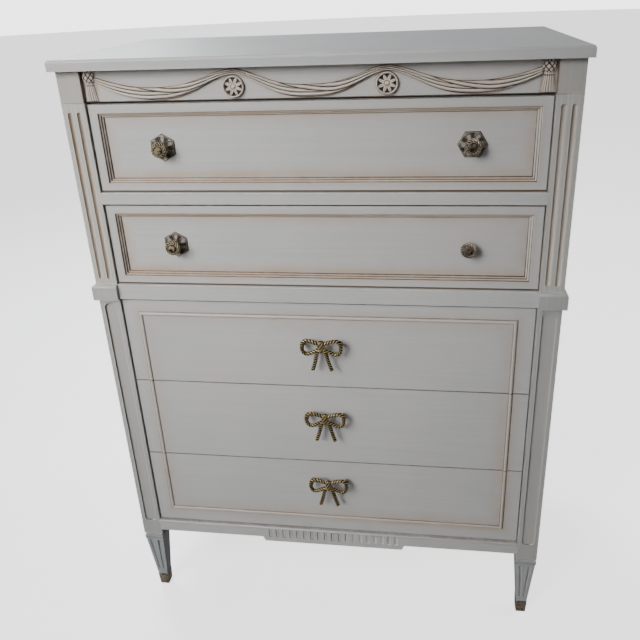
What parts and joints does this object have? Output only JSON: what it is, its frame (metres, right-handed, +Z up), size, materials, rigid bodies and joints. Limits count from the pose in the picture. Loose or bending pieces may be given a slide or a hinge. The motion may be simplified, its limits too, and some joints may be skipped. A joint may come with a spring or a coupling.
{
  "type": "tallboy chest of drawers",
  "caption": "Tall painted chest of drawers on tapered legs, with a carved drapery swag, fluted posts, round knobs and rope bow pulls.",
  "frame": {"origin": "on the floor under the middle of the overall box, pulls included", "axes": "+X to the right of someone facing the drawers, -Y towards them, +Z up"},
  "size_m": [0.93, 0.466, 1.2754],
  "materials": {
    "grey_paint": "satin grey paint on wood with a tan antique glaze left in the recesses and worn edges",
    "carved_trim": "satin grey paint over carving, rubbed pale on the high folds and glazed brown between them",
    "bare_wood": "plain unpainted secondary wood, smooth sanded",
    "bow_brass": "antique brass, dark brown in the twists and bright on the strands",
    "knob_brass": "dark antique brass with a rubbed boss",
    "dark_plate": "dark patinated sheet metal, dished and pierced",
    "ferrule_brass": "dull antique brass cups",
    "screw_steel": "plain zinc-plated steel"
  },
  "bodies": {
    "case": {"top_board": "grey_paint", "left_side_panel": "grey_paint", "right_side_panel": "grey_paint", "back_panel": "bare_wood", "frieze_panel": "grey_paint", "drapery_swag": "carved_trim", "frieze_rosettes": "carved_trim", "frieze_tassels": "carved_trim", "cap_blocks": "grey_paint", "left_upper_post": "grey_paint", "right_upper_post": "grey_paint", "left_lower_post": "grey_paint", "right_lower_post": "grey_paint", "waist_blocks": "grey_paint", "upper_drawer_rail": "grey_paint", "waist_rail": "grey_paint", "apron_rail": "grey_paint", "front_left_leg": "grey_paint", "front_right_leg": "grey_paint", "rear_left_leg": "grey_paint", "rear_right_leg": "grey_paint", "leg_ferrules": "ferrule_brass", "dust_boards": "bare_wood", "drawer_guides": "bare_wood", "rear_corner_blocks": "bare_wood"},
    "drawer_1": {"drawer_1_front": "grey_paint", "drawer_1_sides": "bare_wood", "drawer_1_back": "bare_wood", "drawer_1_bottom": "bare_wood", "drawer_1_screws": "screw_steel", "drawer_1_left_knob": "knob_brass", "drawer_1_right_knob": "knob_brass", "drawer_1_left_plate": "dark_plate", "drawer_1_right_plate": "dark_plate"},
    "drawer_2": {"drawer_2_front": "grey_paint", "drawer_2_sides": "bare_wood", "drawer_2_back": "bare_wood", "drawer_2_bottom": "bare_wood", "drawer_2_screws": "screw_steel", "drawer_2_left_knob": "knob_brass", "drawer_2_right_knob": "knob_brass", "drawer_2_left_plate": "dark_plate"},
    "drawer_3": {"drawer_3_front": "grey_paint", "drawer_3_sides": "bare_wood", "drawer_3_back": "bare_wood", "drawer_3_bottom": "bare_wood", "drawer_3_screws": "screw_steel", "drawer_3_bow_pull": "bow_brass"},
    "drawer_4": {"drawer_4_front": "grey_paint", "drawer_4_sides": "bare_wood", "drawer_4_back": "bare_wood", "drawer_4_bottom": "bare_wood", "drawer_4_screws": "screw_steel", "drawer_4_bow_pull": "bow_brass"},
    "drawer_5": {"drawer_5_front": "grey_paint", "drawer_5_sides": "bare_wood", "drawer_5_back": "bare_wood", "drawer_5_bottom": "bare_wood", "drawer_5_screws": "screw_steel", "drawer_5_bow_pull": "bow_brass"}
  },
  "joints": [
    {"name": "drawer_1_slide", "type": "slide", "parent": "case", "child": "drawer_1", "axis": [0, -1, 0], "range_m": [0, 0.33]},
    {"name": "drawer_2_slide", "type": "slide", "parent": "case", "child": "drawer_2", "axis": [0, -1, 0], "range_m": [0, 0.33]},
    {"name": "drawer_3_slide", "type": "slide", "parent": "case", "child": "drawer_3", "axis": [0, -1, 0], "range_m": [0, 0.33]},
    {"name": "drawer_4_slide", "type": "slide", "parent": "case", "child": "drawer_4", "axis": [0, -1, 0], "range_m": [0, 0.33]},
    {"name": "drawer_5_slide", "type": "slide", "parent": "case", "child": "drawer_5", "axis": [0, -1, 0], "range_m": [0, 0.33]}
  ]
}
